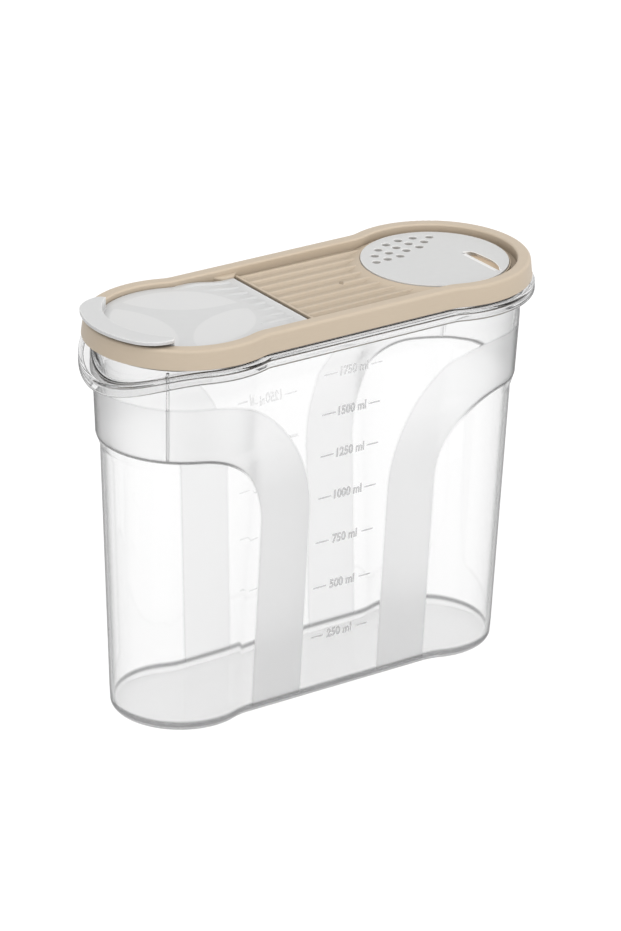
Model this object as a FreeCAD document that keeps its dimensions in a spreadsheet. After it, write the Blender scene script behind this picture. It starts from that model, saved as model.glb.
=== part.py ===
import FreeCAD, Part
import Sketcher
import math
import os

# Dry food canister: a clear drafted container with a waisted plan, a push-on lid,
# a hinged pouring flap at the -X end and a turning shaker disc at the +X end.
# Millimetres, origin on the table under the middle of the base, +Z up, length along X.

doc = FreeCAD.newDocument("food_container")
sheet = doc.addObject("Spreadsheet::Sheet", "sizes")

SIZES = [
    # plan of the lid crest, which every other outline is set in or out from
    ("end_centre", 66.5, "middle of the object to the centre of a round end"),
    ("end_radius", 42.3, "round end of the lid crest"),
    ("waist_step", 3.4, "how much narrower each side is between the ends"),
    ("waist_blend", 14.0, "radius that joins the waist to a round end"),
    ("crest_height", 184.0, "table to the top of the lid crest"),
    # container
    ("wall", 1.3, "container wall"),
    ("floor_thickness", 2.0, "container floor"),
    ("base_inset", 11.8, "base outline inside the crest outline"),
    ("base_round", 2.6, "rounding under the base edge"),
    ("floor_round", 2.0, "rounding where the inner wall meets the floor"),
    ("band_foot", 130.5, "height of the lower edge of the raised end bands"),
    ("band_inset", 5.1, "wall outline at that edge"),
    ("band_step", 6.0, "height of the slope under the bands"),
    ("end_recess", 2.4, "how far an end steps in below its band"),
    ("collar_inset", 2.7, "collar outline at its top"),
    ("collar_gap", 0.2, "collar top below the lid"),
    ("strip_gap", 1.9, "clear strip between lid skirt and flange"),
    ("flange_reach", 1.8, "flange outline outside the crest outline"),
    ("flange_drop", 3.9, "height of the flange lip"),
    ("shelf", 1.6, "thickness of the flange shelf"),
    ("lip_wall", 1.4, "thickness of the flange lip"),
    ("dip_depth", 10.5, "how far the flange dips at the pouring end"),
    ("lip_gain", 1.0, "how much taller the lip is there"),
    ("dip_half_width", 37.0, "half width of that dip"),
    ("stack_angle", 47.0, "stacking ribs, from the length axis round each end"),
    ("stack_width", 1.2, "stacking rib width"),
    ("stack_depth", 1.4, "stacking rib depth inside the wall"),
    # lid
    ("skirt_height", 8.8, "crest to the lower edge of the skirt"),
    ("skirt_flare", 1.1, "skirt edge outside the crest outline"),
    ("skirt_wall", 1.4, "skirt thickness"),
    ("crest_thickness", 1.8, "roof over the collar"),
    ("crest_round", 1.6, "outer rounding of the crest"),
    ("well_round", 0.9, "inner rounding of the crest"),
    ("rim_width", 5.8, "crest outline to the wall of the tray"),
    ("plug_wall", 1.0, "wall that plugs the container mouth"),
    ("plug_depth", 11.5, "crest to the lower edge of the plug"),
    ("tray_depth", 4.9, "crest to the floor of the tray"),
    ("tray_thickness", 1.8, "floor of the tray"),
    ("seat_width", 3.9, "tray floor left round the pouring hole"),
    ("groove_width", 1.7, "gap between the tray wall and the disc collar"),
    ("collar_wall", 1.8, "collar round the disc"),
    ("collar_height", 2.1, "disc collar above the tray floor"),
    ("outlet_inner", 11.0, "inner radius of the shaker outlet"),
    ("outlet_margin", 2.9, "disc edge to the outer radius of the outlet"),
    ("outlet_start", 172.0, "start angle of the outlet"),
    ("outlet_sweep", 112.0, "angle that the outlet spans"),
    ("bar_pitch", 7.4, "pitch of the raised bars on tray and flap"),
    ("bar_count", 9, "bars across the tray"),
    ("bar_width", 3.6, "width of a bar"),
    ("bar_height", 0.9, "height of a tray bar"),
    ("flap_bar_height", 0.5, "height of a flap bar"),
    ("trough_width", 5.2, "width of the hinge trough"),
    ("trough_clearance", 0.6, "below the hinge barrel"),
    ("trough_wall", 1.2, "material round the trough"),
    ("gate_radius", 0.9, "moulding gate mark on the tray"),
    ("gate_height", 1.2, "that mark above the tray floor"),
    ("gate_x", 16.2, "place of that mark along the tray"),
    # flap
    ("hinge_x", 22.5, "hinge line from the middle, towards the flap"),
    ("flap_sink", 2.3, "flap top below the crest"),
    ("flap_thickness", 1.8, "flap plate"),
    ("flap_gap", 0.45, "flap edge to the tray wall"),
    ("barrel_radius", 1.6, "hinge barrel"),
    ("pin_radius", 1.2, "hinge pins"),
    ("pin_clearance", 0.05, "pins in their bores, on the radius"),
    ("pin_bite", 1.0, "pin length inside the tray wall"),
    ("web_depth", 0.6, "depth of the web under the flap"),
    ("web_arms", 3, "arms of the web"),
    ("web_hub", 9.5, "middle of the web to the nearest edge of a window"),
    ("web_arm", 8.0, "width of a web arm at the rim"),
    ("web_margin", 1.4, "pouring hole edge to the edge of the web"),
    ("tab_height", 3.0, "tab top above the crest"),
    ("tab_thickness", 1.7, "tab plate"),
    ("tab_overhang", 1.7, "tab edge outside the crest outline"),
    ("tab_half_angle", 51.0, "half the angle that the tab spans"),
    ("tab_corner", 7.0, "rounded corners of the tab"),
    ("tab_step", 1.6, "wall that lifts the tab over the crest"),
    # disc
    ("disc_gap", 0.4, "disc edge to its collar"),
    ("disc_lift", 0.3, "disc above the tray floor"),
    ("disc_thickness", 2.4, "disc plate"),
    ("hole_radius", 1.95, "shaker holes"),
    ("hole_margin", 6.2, "disc edge to the outer row of holes"),
    ("hole_row_step", 5.55, "distance between the rows"),
    ("hole_pitch", 7.6, "distance between holes along a row"),
    ("hole_mid_angle", 108.5, "middle of the rows, round the disc"),
    ("slot_chord", 15.0, "disc centre to the straight edge of the finger slot"),
    ("slot_length", 27.0, "length of that edge"),
    ("slot_depth", 4.8, "width of the slot at its middle"),
    ("slot_middle", 14.0, "slot middle from the length axis"),
    ("ramp_run", 2.0, "width of the thumb ramp beside the slot"),
    ("ramp_length", 24.0, "length of that ramp along the slot"),
    ("ramp_drop", 1.2, "depth of the ramp at the slot"),
    ("hub_radius", 3.0, "post that the disc turns on"),
    ("hub_clearance", 0.05, "post in the tray floor, on the radius"),
    ("hub_head", 0.8, "snap head outside the post"),
    ("hub_head_height", 1.2, "height of the snap head"),
    ("hub_play", 0.3, "snap head below the tray floor"),
]

for row, (alias, value, note) in enumerate(SIZES, start=1):
    sheet.set(f"A{row}", note)
    sheet.set(f"B{row}", str(value))
    sheet.setAlias(f"B{row}", alias)
doc.recompute()

ALIASES = {alias: f"sizes.{alias}" for alias, value, note in SIZES}
# Half width of the lid crest between its round ends.
ALIASES["waist"] = "( sizes.end_radius - sizes.waist_step )"


def bound(text):
    """Turn a formula in size names into an expression on the sheet."""
    words = text.replace("(", "( ").replace(")", " )").split()
    return " ".join(ALIASES.get(word, word) for word in words)


def size(text):
    """Value of a formula in size names."""
    return float(sheet.evalExpression(bound(text)))


def bind(thing, **properties):
    """Tie properties of an object to formulas; a double underscore stands for a dot."""
    for name, text in properties.items():
        thing.setExpression(name.replace("__", "."), bound(text))


def place(thing, x="0", y="0", z="0"):
    bind(thing, Placement__Base__x=x, Placement__Base__y=y, Placement__Base__z=z)
    return thing


# Heights that several pieces share, as formulas in the driving sizes.
SKIRT_FOOT = "crest_height - skirt_height"
ROOF = "crest_height - crest_thickness"
COLLAR_TOP = f"{ROOF} - collar_gap"
FLANGE_TOP = f"{SKIRT_FOOT} - strip_gap"
PLUG_FOOT = "crest_height - plug_depth"
TRAY_TOP = "crest_height - tray_depth"
TRAY_UNDER = f"{TRAY_TOP} - tray_thickness"
FLAP_TOP = "crest_height - flap_sink"
FLAP_UNDER = f"{FLAP_TOP} - flap_thickness"
HINGE_Z = f"{FLAP_TOP} - barrel_radius"
TROUGH_FLOOR = f"{HINGE_Z} - barrel_radius - trough_clearance"
DISC_UNDER = f"{TRAY_TOP} + disc_lift"
TAB_TOP = "crest_height + tab_height"
TAB_UNDER = f"{TAB_TOP} - tab_thickness"

# Radii about the centre of a round end.
WELL_RADIUS = "end_radius - rim_width"
POUR_RADIUS = f"{WELL_RADIUS} - seat_width"
COLLAR_OUTER = f"{WELL_RADIUS} - groove_width"
COLLAR_INNER = f"{COLLAR_OUTER} - collar_wall"
DISC_RADIUS = f"{COLLAR_INNER} - disc_gap"
STEP_OUTER = f"{WELL_RADIUS} - flap_gap"
WEB_RADIUS = f"{POUR_RADIUS} - web_margin"

# Cutters reach past the faces that they cut by this much.
PAST = 1.0
# Lengths closer than this are the same.
SAME = 1e-4
ORIGIN = FreeCAD.Vector(0, 0, 0)
X_AXIS = FreeCAD.Vector(1, 0, 0)
Y_AXIS = FreeCAD.Vector(0, 1, 0)
Z_AXIS = FreeCAD.Vector(0, 0, 1)
# Sketch plane stood up across the object: its first axis along Y, its second along Z.
ACROSS = FreeCAD.Placement(ORIGIN, FreeCAD.Rotation(Y_AXIS, Z_AXIS, X_AXIS, "ZXY"))
# Turns a cylinder down so that it runs along Y.
ALONG_Y = FreeCAD.Placement(ORIGIN, FreeCAD.Rotation(Z_AXIS, Y_AXIS))
# Gives a placement the Y axis to turn about, for an angle that a formula sets.
ABOUT_Y = FreeCAD.Placement(ORIGIN, FreeCAD.Rotation(Y_AXIS, 1))
# Parts of a sketch curve, and the sketch axes and origin, as constraints name them.
START, END, CENTRE = 1, 2, 3
AXIS_X, AXIS_Y = -1, -2


def outline(name, inset, z, end_shift="0"):
    """Waisted outline at height z: the crest outline moved in by inset, and the
    centres of its round ends moved towards the middle by end_shift."""
    sketch = doc.addObject("Sketcher::SketchObject", name)
    centre = size(f"end_centre - ( {end_shift} )")
    radius = size(f"end_radius - ( {inset} )")
    half = size(f"waist - ( {inset} )")
    blend = size(f"waist_blend + ( {inset} )")
    reach = math.sqrt((radius + blend) ** 2 - (half + blend) ** 2)
    corner = centre - reach
    lift = half + blend
    sweep = math.atan2(lift, -reach)
    lean = math.atan2(reach, lift)
    quarter = math.pi / 2

    def arc(x, y, r, start, end):
        circle = Part.Circle(FreeCAD.Vector(x, y, 0), Z_AXIS, r)
        sketch.addGeometry(Part.ArcOfCircle(circle, start, end))

    def line(x0, y0, x1, y1):
        ends = FreeCAD.Vector(x0, y0, 0), FreeCAD.Vector(x1, y1, 0)
        sketch.addGeometry(Part.LineSegment(*ends))

    def tie(kind, *where):
        return sketch.addConstraint(Sketcher.Constraint(kind, *where))

    arc(centre, 0, radius, -sweep, sweep)
    arc(corner, lift, blend, -quarter, -quarter + lean)
    line(corner, half, -corner, half)
    arc(-corner, lift, blend, -quarter - lean, -quarter)
    arc(-centre, 0, radius, math.pi - sweep, math.pi + sweep)
    arc(-corner, -lift, blend, quarter, quarter + lean)
    line(-corner, -half, corner, -half)
    arc(corner, -lift, blend, quarter - lean, quarter)
    right, top_right, top, top_left, left, low_left, low, low_right = range(sketch.GeometryCount)

    tie("Tangent", right, END, top_right, END)
    tie("Tangent", top_right, START, top, START)
    tie("Tangent", top, END, top_left, END)
    tie("Tangent", top_left, START, left, START)
    tie("Tangent", left, END, low_left, END)
    tie("Tangent", low_left, START, low, START)
    tie("Tangent", low, END, low_right, END)
    tie("Tangent", low_right, START, right, START)
    tie("PointOnObject", right, CENTRE, AXIS_X)
    tie("PointOnObject", left, CENTRE, AXIS_X)
    tie("Horizontal", top)
    tie("Horizontal", low)
    tie("Equal", right, left)
    for corner_arc in (top_left, low_left, low_right):
        tie("Equal", top_right, corner_arc)
    driven = {
        "radius": (tie("Radius", right, radius), f"end_radius - ( {inset} )"),
        "blend": (tie("Radius", top_right, blend), f"waist_blend + ( {inset} )"),
        "right_x": (tie("DistanceX", AXIS_X, START, right, CENTRE, centre),
                    f"end_centre - ( {end_shift} )"),
        "left_x": (tie("DistanceX", left, CENTRE, AXIS_X, START, centre),
                   f"end_centre - ( {end_shift} )"),
        "top_y": (tie("DistanceY", AXIS_X, START, top, START, half), f"waist - ( {inset} )"),
        "low_y": (tie("DistanceY", low, START, AXIS_X, START, half), f"waist - ( {inset} )"),
    }
    for word, (index, formula) in driven.items():
        sketch.renameConstraint(index, word)
        sketch.setExpression(f"Constraints.{word}", bound(formula))
    return place(sketch, z=z)


def loft(name, sections):
    solid = doc.addObject("Part::Loft", name)
    solid.Sections = sections
    solid.Solid = True
    solid.Ruled = True
    return solid


def prism(name, sketch, length):
    solid = doc.addObject("Part::Extrusion", name)
    solid.Base = sketch
    solid.DirMode = "Normal"
    solid.Solid = True
    bind(solid, LengthFwd=length)
    return solid


def slab(name, inset, bottom, top):
    """Prism of the waisted outline between two heights."""
    return prism(name, outline(f"{name}_outline", inset, bottom), f"{top} - ( {bottom} )")


def cylinder(name, radius, height, x="0", z="0", angle=None):
    solid = doc.addObject("Part::Cylinder", name)
    bind(solid, Radius=radius, Height=height)
    if angle:
        bind(solid, Angle=angle)
    return place(solid, x=x, z=z)


def rod(name, radius, half_length, x, z):
    """Round rod along Y, centred on the length axis."""
    solid = cylinder(name, radius, f"2 * ( {half_length} )")
    solid.Placement = ALONG_Y
    return place(solid, x=x, y=f"- ( {half_length} )", z=z)


def block(name, x0, x1, half_y, z0, z1):
    solid = doc.addObject("Part::Box", name)
    bind(solid, Length=f"{x1} - ( {x0} )", Width=f"2 * ( {half_y} )", Height=f"{z1} - ( {z0} )")
    return place(solid, x=x0, y=f"- ( {half_y} )", z=z0)


def cut(name, base, tool):
    solid = doc.addObject("Part::Cut", name)
    solid.Base = base
    solid.Tool = tool
    return solid


def fuse(name, shapes):
    solid = doc.addObject("Part::MultiFuse", name)
    solid.Shapes = shapes
    solid.Refine = True
    return solid


def common(name, shapes):
    solid = doc.addObject("Part::MultiCommon", name)
    solid.Shapes = shapes
    return solid


def rounded(name, base, radius_of):
    """Round the edges of base for which radius_of(edge) gives a radius."""
    doc.recompute()
    solid = doc.addObject("Part::Fillet", name)
    solid.Base = base
    radii = [radius_of(edge) for edge in base.Shape.Edges]
    solid.Edges = [(i, radius, radius) for i, radius in enumerate(radii, start=1) if radius]
    return solid


def level_edge(edge, height):
    """True for an edge that lies in the horizontal plane at a height."""
    box = edge.BoundBox
    return max(abs(box.ZMin - height), abs(box.ZMax - height)) < SAME


def bars(name, start, end, base, height):
    """Bed of raised bars along X, each a low round-topped bead."""
    body = doc.addObject("PartDesign::Body", name)
    sketch = body.newObject("Sketcher::SketchObject", f"{name}_profile")
    planes = [plane for plane in body.Origin.OriginFeatures if plane.Role == "YZ_Plane"]
    sketch.AttachmentSupport = [(planes[0], "")]
    sketch.MapMode = "FlatFace"
    half = size("bar_width") / 2
    rise = size(height)
    radius = (half ** 2 + rise ** 2) / (2 * rise)
    floor = size(base)
    side = -size("( bar_count - 1 ) / 2 * bar_pitch")
    lean = math.asin(half / radius)
    circle = Part.Circle(FreeCAD.Vector(side, floor + rise - radius, 0), Z_AXIS, radius)
    sketch.addGeometry(Part.ArcOfCircle(circle, math.pi / 2 - lean, math.pi / 2 + lean))
    foot = [FreeCAD.Vector(side + step * half, floor, 0) for step in (-1, 1)]
    sketch.addGeometry(Part.LineSegment(*foot))
    bead, chord = 0, 1
    sketch.addConstraint(Sketcher.Constraint("Coincident", bead, END, chord, START))
    sketch.addConstraint(Sketcher.Constraint("Coincident", bead, START, chord, END))
    sketch.addConstraint(Sketcher.Constraint("Horizontal", chord))
    driven = {
        "width": (("DistanceX", chord, START, chord, END, 2 * half), "bar_width"),
        "radius": (("Radius", bead, radius),
                   f"( bar_width * bar_width / 4 + {height} * {height} ) / ( 2 * {height} )"),
        "side": (("DistanceX", chord, START, AXIS_X, START, half - side),
                 "bar_width / 2 + ( bar_count - 1 ) / 2 * bar_pitch"),
        "level": (("DistanceY", AXIS_X, START, chord, START, floor), base),
    }
    for word, (values, formula) in driven.items():
        index = sketch.addConstraint(Sketcher.Constraint(*values))
        sketch.renameConstraint(index, word)
        sketch.setExpression(f"Constraints.{word}", bound(formula))
    bind(sketch, AttachmentOffset__Base__z=start)
    pad = body.newObject("PartDesign::Pad", f"{name}_pad")
    pad.Profile = sketch
    bind(pad, Length=f"{end} - ( {start} )")
    doc.recompute()
    row = body.newObject("PartDesign::LinearPattern", f"{name}_row")
    row.Originals = [pad]
    row.Direction = (sketch, ["H_Axis"])
    bind(row, Length="( bar_count - 1 ) * bar_pitch", Occurrences="bar_count")
    body.Tip = row
    return body


# Container shell: drafted walls, with the ends stepped in below the bands.
WINDOW_TOP = "band_foot - band_step"


def shell_sections(name, inward, bottom, top):
    return [
        outline(f"{name}_base", f"base_inset + {inward}", bottom),
        outline(f"{name}_window", f"band_inset + {inward}", WINDOW_TOP, "end_recess"),
        outline(f"{name}_band", f"band_inset + {inward}", "band_foot"),
        outline(f"{name}_collar", f"collar_inset + {inward}", top),
    ]


outside = loft("shell_outside", shell_sections("outside", "0", "0", COLLAR_TOP))
inside = loft("shell_inside", shell_sections("inside", "wall", "floor_thickness",
                                             f"{COLLAR_TOP} + {PAST}"))


def base_edge(edge):
    return size("base_round") if level_edge(edge, 0) else None


def floor_edge(edge):
    return size("floor_round") if level_edge(edge, size("floor_thickness")) else None


outside = rounded("shell_base_round", outside, base_edge)
inside = rounded("shell_floor_round", inside, floor_edge)
shell = cut("shell", outside, inside)


# Flange: a shelf with a turned-down lip that dips across the pouring end of the container.
DIP = "dip_depth"
LOWER_DIP = "( dip_depth + lip_gain )"


def dip_radius(depth):
    """Radius of an arc that drops by depth over half the width of the dip."""
    return f"( dip_half_width ^ 2 + {depth} ^ 2 ) / ( 2 * {depth} )"


def dipped_band(name, top, height):
    """Band through the object: level along the sides and round the disc end, and dipping
    in an arc between the sides elsewhere, which the flange meets at the pouring end."""
    sketch = doc.addObject("Sketcher::SketchObject", name)
    sketch.Placement = ACROSS
    reach = f"end_radius + flange_reach + {PAST}"
    half = size("dip_half_width")
    edge = size(reach)
    upper = size(top)
    lower = upper - size(height)
    down = -math.pi / 2

    def line(y0, z0, y1, z1):
        ends = FreeCAD.Vector(y0, z0, 0), FreeCAD.Vector(y1, z1, 0)
        sketch.addGeometry(Part.LineSegment(*ends))

    def tie(kind, *where):
        return sketch.addConstraint(Sketcher.Constraint(kind, *where))

    for level, depth in ((upper, DIP), (lower, LOWER_DIP)):
        radius = size(dip_radius(depth))
        lean = math.asin(half / radius)
        middle = FreeCAD.Vector(0, level - size(depth) + radius, 0)
        circle = Part.Circle(middle, Z_AXIS, radius)
        sketch.addGeometry(Part.ArcOfCircle(circle, down - lean, down + lean))
        line(-half, level, -edge, level)
        line(half, level, edge, level)
    line(-edge, upper, -edge, lower)
    line(edge, upper, edge, lower)
    dip, left, right, low_dip, low_left, low_right, left_end, right_end = range(sketch.GeometryCount)

    tie("Coincident", dip, START, left, START)
    tie("Coincident", dip, END, right, START)
    tie("Coincident", low_dip, START, low_left, START)
    tie("Coincident", low_dip, END, low_right, START)
    tie("Coincident", left, END, left_end, START)
    tie("Coincident", low_left, END, left_end, END)
    tie("Coincident", right, END, right_end, START)
    tie("Coincident", low_right, END, right_end, END)
    for arc in (dip, low_dip):
        tie("PointOnObject", arc, CENTRE, AXIS_Y)
    for level_line in (left, right, low_left, low_right):
        tie("Horizontal", level_line)
    for end_line in (left_end, right_end):
        tie("Vertical", end_line)
    driven = {
        "radius": (("Radius", dip, size(dip_radius(DIP))), dip_radius(DIP)),
        "low_radius": (("Radius", low_dip, size(dip_radius(LOWER_DIP))), dip_radius(LOWER_DIP)),
        "upper_left": (("DistanceY", AXIS_X, START, left, START, upper), top),
        "upper_right": (("DistanceY", AXIS_X, START, right, START, upper), top),
        "lower_left": (("DistanceY", AXIS_X, START, low_left, START, lower), f"{top} - ( {height} )"),
        "lower_right": (("DistanceY", AXIS_X, START, low_right, START, lower), f"{top} - ( {height} )"),
        "half_width": (("DistanceX", AXIS_X, START, dip, END, half), "dip_half_width"),
        "lower_half": (("DistanceX", AXIS_X, START, low_dip, END, half), "dip_half_width"),
        "left_edge": (("DistanceX", left_end, START, AXIS_X, START, edge), reach),
        "right_edge": (("DistanceX", AXIS_X, START, right_end, START, edge), reach),
    }
    for word, (values, formula) in driven.items():
        index = sketch.addConstraint(Sketcher.Constraint(*values))
        sketch.renameConstraint(index, word)
        sketch.setExpression(f"Constraints.{word}", bound(formula))
    place(sketch, x=f"- end_centre - ( {reach} )")
    dipping = prism(f"{name}_dipping", sketch, f"2 * end_centre + {reach}")
    level = block(f"{name}_level", "end_centre", f"end_centre + {reach}", reach,
                  f"{top} - ( {height} )", top)
    return fuse(f"{name}_band", [dipping, level])


FLANGE_FOOT = f"{FLANGE_TOP} - {LOWER_DIP} - flange_drop - {PAST}"
FLANGE_HEAD = f"{FLANGE_TOP} + {PAST}"
ROOT = "collar_inset + wall"
flange_ring = cut("flange_ring",
                  slab("flange_outer", "- flange_reach", FLANGE_FOOT, FLANGE_HEAD),
                  slab("flange_bore", ROOT, FLANGE_FOOT, FLANGE_HEAD))
flange_blank = common("flange_blank", [flange_ring, dipped_band("dip", FLANGE_TOP, "flange_drop")])
flange_hollow = common("flange_hollow", [
    slab("lip_inner", "lip_wall - flange_reach", FLANGE_FOOT, FLANGE_HEAD),
    dipped_band("hollow", f"{FLANGE_TOP} - shelf", f"flange_drop + {PAST}")])
flange = cut("flange", flange_blank, flange_hollow)

# Stacking ribs: four upright ribs inside the round ends, from the band edge to the plug.
stack_ribs = []
for end in (1, -1):
    for side in (1, -1):
        rib = doc.addObject("Part::Box", f"stack_rib_{len(stack_ribs)}")
        bind(rib, Length="stack_depth + wall + collar_inset", Width="stack_width",
             Height=f"{PLUG_FOOT} - {PAST} - band_foot")
        heading = f"{end * side} * stack_angle" if end > 0 else f"180 + {end * side} * stack_angle"
        inner = "end_radius - band_inset - wall - stack_depth"
        bind(rib, Placement__Rotation__Angle=heading)
        place(rib,
              x=f"{end} * end_centre + ( {inner} ) * cos( ( {heading} ) * 1deg )"
                f" + stack_width / 2 * sin( ( {heading} ) * 1deg )",
              y=f"( {inner} ) * sin( ( {heading} ) * 1deg )"
                f" - stack_width / 2 * cos( ( {heading} ) * 1deg )",
              z="band_foot")
        stack_ribs.append(rib)
stack_set = common("stack_set", [fuse("stack_blanks", stack_ribs), outside])
container_body = fuse("container_body", [shell, flange, stack_set])

# Lid rim: a skirt and a plug wall with the container collar between them.
rim_outside = loft("rim_outside", [
    outline("skirt_foot_outline", "- skirt_flare", SKIRT_FOOT),
    outline("crest_outline", "0", "crest_height")])
rim_inside = loft("rim_inside", [
    outline("skirt_inner_foot", "skirt_wall - skirt_flare", f"{SKIRT_FOOT} - {PAST}"),
    outline("skirt_inner_roof", "skirt_wall", ROOF)])
rim_blank = cut("rim_blank", rim_outside, rim_inside)
well = slab("well", "rim_width", PLUG_FOOT, f"crest_height + {PAST}")
plug = slab("plug_blank", "rim_width - plug_wall", PLUG_FOOT, "crest_height")
rim = cut("rim", fuse("rim_with_plug", [rim_blank, plug]), well)


def crest_edge(edge):
    """Radius for the edges of the crest, larger outside than on the tray side."""
    if not level_edge(edge, size("crest_height")):
        return None
    point = edge.valueAt((edge.FirstParameter + edge.LastParameter) / 2)
    beyond = max(abs(point.x) - size("end_centre"), 0)
    inner = math.hypot(beyond, point.y) < size(f"( waist + {WELL_RADIUS} ) / 2")
    return size("well_round") if inner else size("crest_round")


rim = rounded("rim_rounded", rim, crest_edge)

# Tray: floor, bars, hinge trough, disc collar and the moulding gate mark.
tray_floor = slab("tray_floor", "rim_width - plug_wall / 2", TRAY_UNDER, TRAY_TOP)
bar_bed = bars("tray_bars", "trough_width / 2 - hinge_x", "end_centre", TRAY_TOP, "bar_height")
bar_bed = cut("tray_bars_trimmed", bar_bed,
              cylinder("bar_trim", f"{COLLAR_OUTER} - collar_wall / 2", "tray_depth",
                       x="end_centre", z=TRAY_TOP))
trough_bed = block("trough_bed", "- hinge_x - trough_width / 2 - trough_wall",
                   "trough_width / 2 + trough_wall - hinge_x", "waist - rim_width + plug_wall / 2",
                   f"{TROUGH_FLOOR} - trough_wall", TRAY_TOP)
disc_collar = cut("disc_collar",
                  cylinder("collar_outside", COLLAR_OUTER, "collar_height + tray_thickness / 2",
                           x="end_centre", z=f"{TRAY_TOP} - tray_thickness / 2"),
                  cylinder("collar_inside", COLLAR_INNER, f"collar_height + tray_thickness + {PAST}",
                           x="end_centre", z=f"{TRAY_TOP} - tray_thickness / 2"))
gate_mark = cylinder("gate_mark", "gate_radius", "tray_thickness / 2 + gate_height",
                     x="gate_x", z=f"{TRAY_TOP} - tray_thickness / 2")
lid_solid = fuse("lid_solid", [rim, tray_floor, bar_bed, trough_bed, disc_collar, gate_mark])

# Openings of the lid: trough, pin bores, pouring hole, shaker outlet and post hole.
trough = block("trough", "- hinge_x - trough_width / 2", "trough_width / 2 - hinge_x",
               "waist - rim_width", TROUGH_FLOOR, "crest_height")
pin_bore = rod("pin_bore", "pin_radius + pin_clearance",
               f"waist - rim_width + plug_wall + {PAST}", "- hinge_x", HINGE_Z)
pour_hole = cylinder("pour_hole", POUR_RADIUS, f"tray_thickness + 2 * {PAST}",
                     x="- end_centre", z=f"{TRAY_UNDER} - {PAST}")
outlet_sector = cylinder("outlet_sector", f"{DISC_RADIUS} - outlet_margin",
                         f"tray_thickness + 2 * {PAST}", x="end_centre",
                         z=f"{TRAY_UNDER} - {PAST}", angle="outlet_sweep")
bind(outlet_sector, Placement__Rotation__Angle="outlet_start")
outlet = cut("outlet", outlet_sector,
             cylinder("outlet_core", "outlet_inner", f"tray_thickness + 4 * {PAST}",
                      x="end_centre", z=f"{TRAY_UNDER} - 2 * {PAST}"))
post_hole = cylinder("post_hole", "hub_radius + hub_clearance", f"tray_thickness + 2 * {PAST}",
                     x="end_centre", z=f"{TRAY_UNDER} - {PAST}")
lid = cut("lid", lid_solid, fuse("lid_openings", [trough, pin_bore, pour_hole, outlet, post_hole]))

# Flap: plate with a hinge barrel and pins, bars, a web underneath and a lifted tab.
FLAP_INSET = "rim_width + flap_gap"
plate = common("flap_plate", [
    slab("flap_blank", FLAP_INSET, FLAP_UNDER, FLAP_TOP),
    block("flap_side", "- end_centre - end_radius", "- hinge_x", "end_radius", FLAP_UNDER, FLAP_TOP)])
barrel = rod("hinge_barrel", "barrel_radius", f"waist - ( {FLAP_INSET} )", "- hinge_x", HINGE_Z)
pins = rod("hinge_pins", "pin_radius", "waist - rim_width + pin_bite", "- hinge_x", HINGE_Z)
flap_bars = common("flap_bars_trimmed", [
    cut("flap_bars_round", bars("flap_bars", "- end_centre", "- hinge_x - barrel_radius",
                                FLAP_TOP, "flap_bar_height"),
        cylinder("flap_bar_trim", f"{POUR_RADIUS} + {PAST}", "flap_sink", x="- end_centre", z=FLAP_TOP)),
    slab("flap_bar_limit", f"{FLAP_INSET} + {PAST}", FLAP_TOP, f"{FLAP_TOP} + flap_sink")])

# The windows of the web are circles about points outside it: each passes the hub at
# web_hub and meets the edge of the web half an arm's width from the arm's middle line.
HALF_WINDOW = f"( 180deg / web_arms - asin( web_arm / ( 2 * ( {WEB_RADIUS} ) ) ) )"
WINDOW_THROW = (f"( ( {WEB_RADIUS} ) ^ 2 - web_hub ^ 2 )"
                f" / ( 2 * ( ( {WEB_RADIUS} ) * cos( {HALF_WINDOW} ) - web_hub ) )")
web = cylinder("web_disc", WEB_RADIUS, "web_depth + flap_thickness / 2", x="- end_centre",
               z=f"{FLAP_UNDER} - web_depth")
web_windows = []
for index in range(round(size("web_arms"))):
    heading = f"( {index} + 1 / 2 ) * 360deg / web_arms"
    window = cylinder(f"web_window_{index}", f"{WINDOW_THROW} - web_hub", "web_depth + flap_thickness",
                      x=f"{WINDOW_THROW} * cos( {heading} ) - end_centre",
                      z=f"{FLAP_UNDER} - web_depth - flap_thickness")
    bind(window, Placement__Base__y=f"{WINDOW_THROW} * sin( {heading} )")
    web_windows.append(window)
web = cut("web", web, fuse("web_windows", web_windows))


def end_sector(name, outer, inner, bottom, top):
    """Sector of a ring about the centre of the -X end, as wide as the tab."""
    height = f"{top} - ( {bottom} )"
    sector = cylinder(f"{name}_sector", outer, height, x="- end_centre", z=bottom,
                      angle="2 * tab_half_angle")
    bind(sector, Placement__Rotation__Angle="180 - tab_half_angle")
    core = cylinder(f"{name}_core", inner, f"{height} + 2 * {PAST}", x="- end_centre",
                    z=f"{bottom} - {PAST}")
    return cut(name, sector, core)


STEP_INNER = f"{STEP_OUTER} - tab_step"
TAB_OUTER = "end_radius + tab_overhang"
tab_blank = end_sector("tab_blank", TAB_OUTER, STEP_INNER, TAB_UNDER, TAB_TOP)


def tab_corner(edge):
    box = edge.BoundBox
    upright = abs(box.DiagonalLength - size("tab_thickness")) < SAME
    away = math.hypot(box.Center.x + size("end_centre"), box.Center.y)
    return size("tab_corner") if upright and away > size(WELL_RADIUS) else None


tab = rounded("tab", tab_blank, tab_corner)
tab_wall = end_sector("tab_wall", STEP_OUTER, STEP_INNER, FLAP_UNDER, TAB_TOP)
pour_flap = fuse("pour_flap", [plate, barrel, pins, flap_bars, web, tab, tab_wall])

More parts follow.
